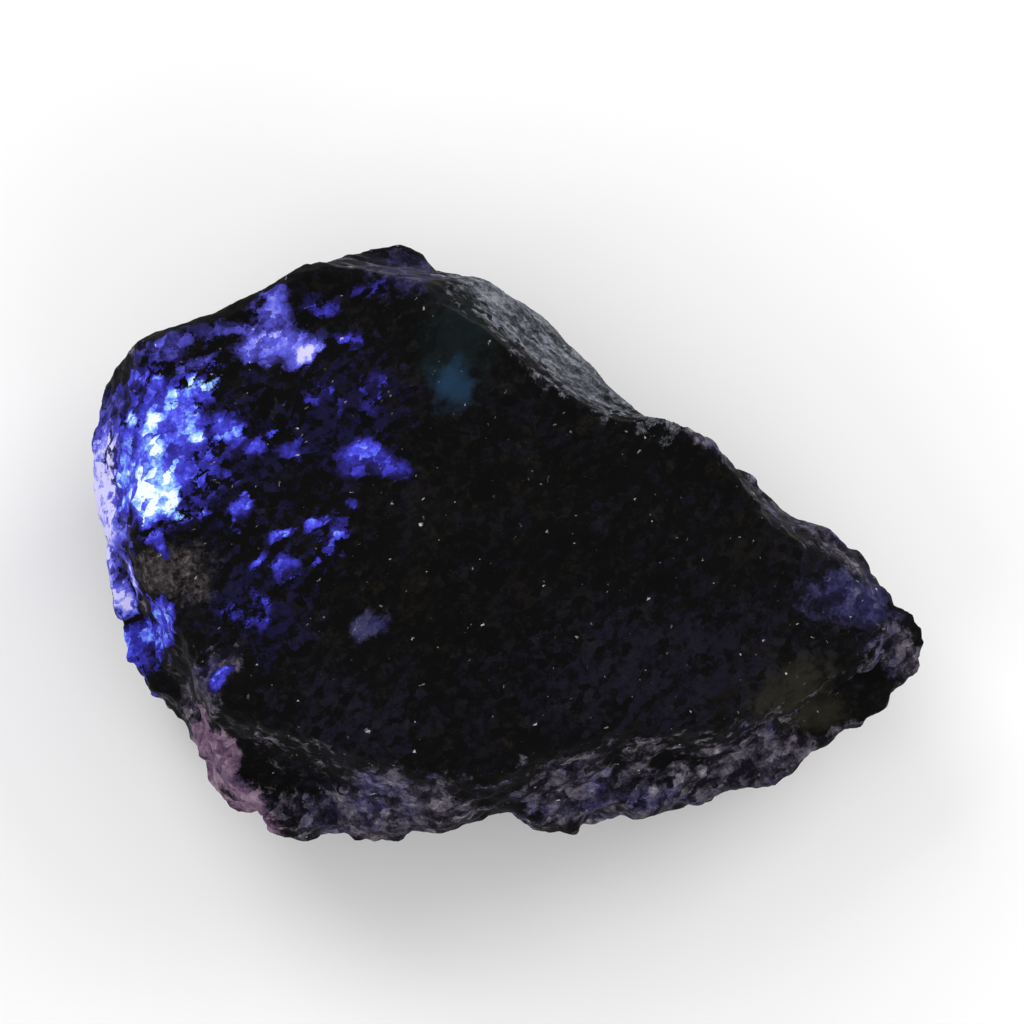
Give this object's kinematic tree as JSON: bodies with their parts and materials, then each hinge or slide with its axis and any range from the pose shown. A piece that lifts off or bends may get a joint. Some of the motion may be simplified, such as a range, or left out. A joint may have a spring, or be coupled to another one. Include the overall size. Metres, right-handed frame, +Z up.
{
  "type": "rough sapphire",
  "caption": "Rough sapphire: a broken blue-black crystal with a flat top, a long shoulder facet, a lumpy lower edge and a thin tip, lying on a flat parting face.",
  "frame": {"origin": "on the flat resting face, under the middle of the stone's outline", "axes": "+X from the blunt end towards the thin tip, +Y towards the straight edge beside the knob, +Z up from the resting face"},
  "size_m": [0.042, 0.0308, 0.0171],
  "materials": {
    "sapphire": "broken crystal, near black, with deep blue patches at the blunt end and lilac thin edges"
  },
  "bodies": {
    "root": {"sapphire": "sapphire"}
  },
  "joints": []
}
